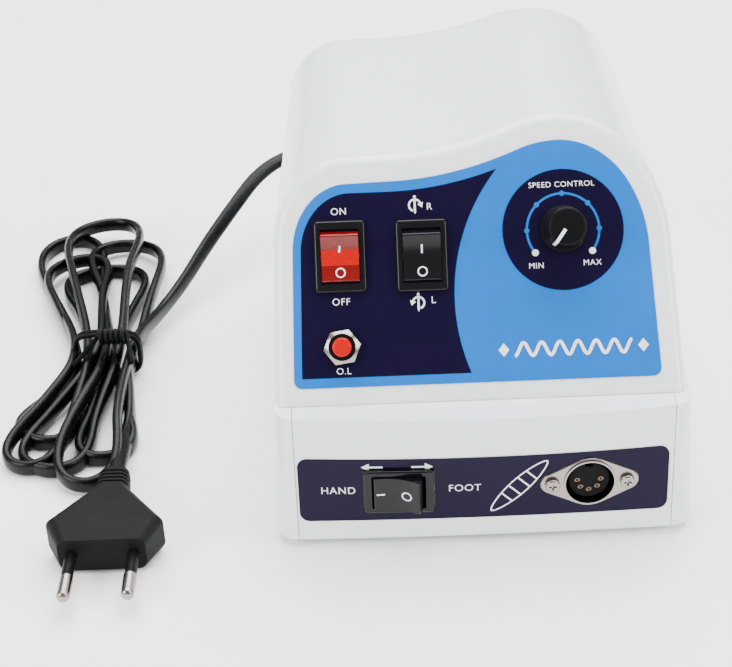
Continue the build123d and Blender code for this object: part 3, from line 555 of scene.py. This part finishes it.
def dialDots(angles, radius):
    # round dots on the arc
    spots = [arcLine(panelArt["dial"], panelArt["scale"], angle, angle, 1)[0] for angle in angles]
    return merged([disc(spot, radius, 24) for spot in spots])


def turnArrow(centre, radius, start, stop):
    # part of a ring with an arrow head at its end, round an upright spindle
    line, faces = ribbonFlat(arcLine(centre, radius, start, stop, 25), 0.55)
    a = math.radians(stop)
    tip = np.array([centre[0] + radius * math.cos(a), centre[1] + radius * math.sin(a)])
    way = np.array([-math.sin(a), math.cos(a)]) * math.copysign(1, stop - start)
    side = np.array([math.cos(a), math.sin(a)])
    head = polygon([tip - side * 0.9, tip + side * 0.9, tip + way * 1.4])
    x, y = centre
    outline = [(-0.3, 1.5), (-0.3, -2.0), (0, -2.6), (0.3, -2.0), (0.3, 1.5)]
    spindle = polygon([(x + dx, y + dy) for dx, dy in outline])
    return merged([(line, faces), head, spindle, disc((x, y + 2.5), 0.42, 16)])


def ornament(centre):
    # a plain waved line between two lozenges
    x = np.linspace(-17.2, 17.2, 181)
    line = ribbonFlat(np.stack([centre[0] + x, centre[1] + 1.9 * np.sin(x * 2 * np.pi / 5.3)], -1), 1.0)
    lozenge = [(20.4, 2.0), (18.8, 0), (20.4, -2.0), (22, 0)]
    ends = [polygon([(centre[0] + s * dx, centre[1] + dy) for dx, dy in lozenge]) for s in (-1, 1)]
    return merged([line] + ends)


dialX, dialY = panelArt["dial"]
panelPrints = {
    # name: shape, films above the label, finish
    "print_navy_field": (navyField(), 1, "strip_navy"),
    "print_dial_disc": (disc(panelArt["dial"], panelArt["disc"], 72), 2, "strip_navy"),
    "print_dial_scale": (dialScale(), 3, "panel_blue"),
    "print_dial_beads": (dialDots(range(0, 181, 45), panelArt["bead"]), 4, "panel_blue"),
    "print_dial_ends": (dialDots((panelArt["from"], panelArt["to"]), panelArt["endDot"]), 4, "white_print"),
    "print_speed": (letters("SPEED CONTROL", 2.3, (dialX, dialY + 13.2)), 3, "white_print"),
    "print_min": (letters("MIN", 2.4, (dialX - 8.2, dialY - 10.4)), 3, "white_print"),
    "print_max": (letters("MAX", 2.4, (dialX + 8.2, dialY - 10.0)), 3, "white_print"),
    "print_on": (letters("ON", 2.9, (-40.0, 56.9)), 3, "white_print"),
    "print_off": (letters("OFF", 2.9, (-40.2, 30.4)), 3, "white_print"),
    "print_right": (merged([turnArrow((-17.6, 58.0), 1.7, 250, 20), letters("R", 2.9, (-13.4, 57.4))]),
                    3, "white_print"),
    "print_left": (merged([turnArrow((-17.6, 29.4), 1.7, -70, 160), letters("L", 2.9, (-13.2, 30.0))]),
                   3, "white_print"),
    "print_overload": (letters("O.L", 2.7, (-40.2, 10.1)), 3, "white_print"),
    "print_ornament": (ornament((27.2, 14.6)), 3, "white_print"),
}
for name, (shape, films, slot) in panelPrints.items():
    printed(name, *shape, onPanel, films * panel["lift"], slot)


def handpieceSign(start, end, width):
    # a slim spindle outline with four cross bands
    start, end = np.array(start, float), np.array(end, float)
    t = np.linspace(0, 1, 33)
    along = end - start
    side = np.array([-along[1], along[0]]) / np.hypot(*along)
    half = width / 2 * np.sin(np.pi * t) ** 0.6
    middle = start + along * t[:, None]
    edges = [ribbonFlat(middle + side * (half * s)[:, None], 0.4) for s in (1, -1)]
    reach = side * width * 0.46
    places = [start + along * b for b in (0.28, 0.42, 0.58, 0.72)]
    return merged(edges + [ribbonFlat(np.stack([place - reach, place + reach]), 0.5) for place in places])


def pointTo(x, z, way):
    # a small arrow: shaft and head
    shaft = ribbonFlat([(x - way * 3.0, z), (x + way * 1.2, z)], 0.6)
    return merged([shaft, polygon([(x + way * 1.0, z - 1.3), (x + way * 3.4, z), (x + way * 1.0, z + 1.3)])])


socketPlace = {
    "x": 30.9, "z": 21.1, "middle": 8.3, "pitch": 22.2, "ear": 3.4, "gap": 0.15,
    "halfWide": 15.0, "halfHigh": 8.8,
}


def socketField():
    # navy ring between the flange and the label: the flange's radius at an angle is the least of
    # support / cosine, where its support is the larger of the middle circle's and the ears'
    s = socketPlace
    a, away = np.radians(np.arange(0, 360, 2.0)), np.radians(np.arange(0, 360, 1.0))
    support = np.maximum(s["middle"], s["pitch"] / 2 * np.abs(np.cos(away)) + s["ear"]) + s["gap"]
    cosine = np.cos(a[:, None] - away)
    inner = np.where(cosine > 0.05, support / np.maximum(cosine, 0.05), np.inf).min(1)
    across, upward = np.maximum(np.abs(np.cos(a)), 1e-6), np.maximum(np.abs(np.sin(a)), 1e-6)
    outer = np.minimum(s["halfWide"] / across, s["halfHigh"] / upward)
    rings = [np.stack([s["x"] + r * np.cos(a), s["z"] + r * np.sin(a)], -1) for r in (outer, inner)]
    return np.concatenate(rings), gridFaces(2, len(a), True)


frontPrints = {
    # name: shape, height above the label in mm, finish
    "print_socket_field": (socketField(), 0.02, "strip_navy"),
    "print_hand": (letters("HAND", 3.4, (-43.4, 20.6)), 0.05, "white_print"),
    "print_foot": (letters("FOOT", 3.4, (-6.0, 20.8)), 0.05, "white_print"),
    "print_arrows": (merged([pointTo(-33.0, 28.9, -1), pointTo(-18.6, 28.9, 1)]), 0.05, "white_print"),
    "print_handpiece": (handpieceSign((1.8, 12.2), (18.4, 29.4), 5.2), 0.05, "white_print"),
}
for name, (shape, lift, slot) in frontPrints.items():
    printed(name, *shape, onFront, lift, slot)
print("graphics printed")

# marks on the rockers are laid on their surfaces
rockers = {
    # bar: its two ends along the rocker, ring: its middle, both in mm from the hinge
    "power_rocker_lens": {
        "body": "power_rocker", "face": "panel", "at": (-40.0, 43.7), "bar": (0.5, 3.0), "ring": -4.8,
    },
    "direction_rocker": {
        "body": "direction_rocker", "face": "panel", "at": (-16.1, 43.2), "bar": (0.5, 3.0), "ring": -4.8,
    },
    "mode_rocker": {
        "body": "mode_rocker", "face": "front", "at": (-25.4, 20.7), "bar": (-6.6, -4.2), "ring": 2.2,
    },
}
markLine = {"bar": 0.5, "ring": 0.38, "radius": 1.3, "gap": 0.00006}


def rockerFrame(face, at):
    # right, up along the rocker, and straight out of its face
    if face == "panel":
        place = Vector(onPanel([at], 0)[0])
        right, up = Vector((1, 0, 0)), Vector((0, math.sin(slope), math.cos(slope)))
    else:
        place = Vector(onFront([at], 0)[0])
        right, up = Vector((0, 0, -1)), Vector((1, 0, 0))
    turn = Matrix((right, up, right.cross(up))).transposed().to_4x4()
    turn.translation = place
    return turn


def rockerMarks(node, rocker):
    # a bar at one end and a ring at the other, cast straight down onto the rocker
    turn = rockerFrame(rocker["face"], rocker["at"])
    bar = np.stack([np.zeros(4), np.linspace(*rocker["bar"], 4)], -1)
    ring = arcLine((0, rocker["ring"]), markLine["radius"], 0, 360, 33)
    flat, faces = merged([ribbonFlat(bar, markLine["bar"]), ribbonFlat(ring, markLine["ring"])])
    piece = newMesh(rocker["body"] + "_marks", np.c_[flat * mm, np.full(len(flat), 0.012)], faces, False)
    if piece.data.polygons[0].normal.z < 0:
        piece.data.flip_normals()
    piece.matrix_world = turn
    wrap = piece.modifiers.new("lay", "SHRINKWRAP")
    wrap.target, wrap.wrap_method, wrap.wrap_mode = frame["nodes"][node], "PROJECT", "ABOVE_SURFACE"
    wrap.use_project_z, wrap.use_negative_direction, wrap.use_positive_direction = True, True, False
    wrap.offset = markLine["gap"]
    bpy.context.view_layer.update()
    laid = bpy.data.meshes.new_from_object(piece.evaluated_get(bpy.context.evaluated_depsgraph_get()))
    laid.transform(turn)
    piece.modifiers.clear()
    piece.data = laid
    piece.matrix_world = Matrix.Identity(4)
    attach(piece, rocker["body"])
    dress(piece, "white_print")


for rockerNode, rocker in rockers.items():
    rockerMarks(rockerNode, rocker)
print("rockers marked")

studio = {"floor": 6.0, "floorTone": (1.0, 1.0, 1.0), "world": 0.5}


def makeStudio():
    half = studio["floor"] / 2
    corners = [(-half, -half, 0), (half, -half, 0), (half, half, 0), (-half, half, 0)]
    floor = newMesh("floor", corners, [[0, 1, 2, 3]])
    paper = finish("paper", studio["floorTone"], 0.6, 1.0, 0.004, 0.05, 0.02)
    floor.data.materials.append(paper)
    world = bpy.data.worlds.new("studio")
    world.use_nodes = True
    world.node_tree.nodes["Background"].inputs["Color"].default_value = (1, 1, 1, 1)
    world.node_tree.nodes["Background"].inputs["Strength"].default_value = studio["world"]
    bpy.context.scene.world = world


softBoxes = {
    "overSoft": {"place": (0.1, 0.45, 1.25), "size": 1.6, "power": 66.0},
    "leftSoft": {"place": (-1.1, -0.7, 0.75), "size": 0.8, "power": 22.0},
    "rightSoft": {"place": (1.2, -0.6, 0.8), "size": 0.8, "power": 17.0},
}


lightAim = (-0.02, -0.01, 0.05)


def makeLights():
    for name, box in softBoxes.items():
        light = bpy.data.lights.new(name, "AREA")
        light.energy, light.size = box["power"], box["size"]
        lamp = bpy.data.objects.new(name, light)
        bpy.context.collection.objects.link(lamp)
        lamp.location = box["place"]
        lamp.rotation_euler = (Vector(lightAim) - Vector(box["place"])).to_track_quat("-Z", "Y").to_euler()


makeStudio()
makeLights()
print("studio lit")
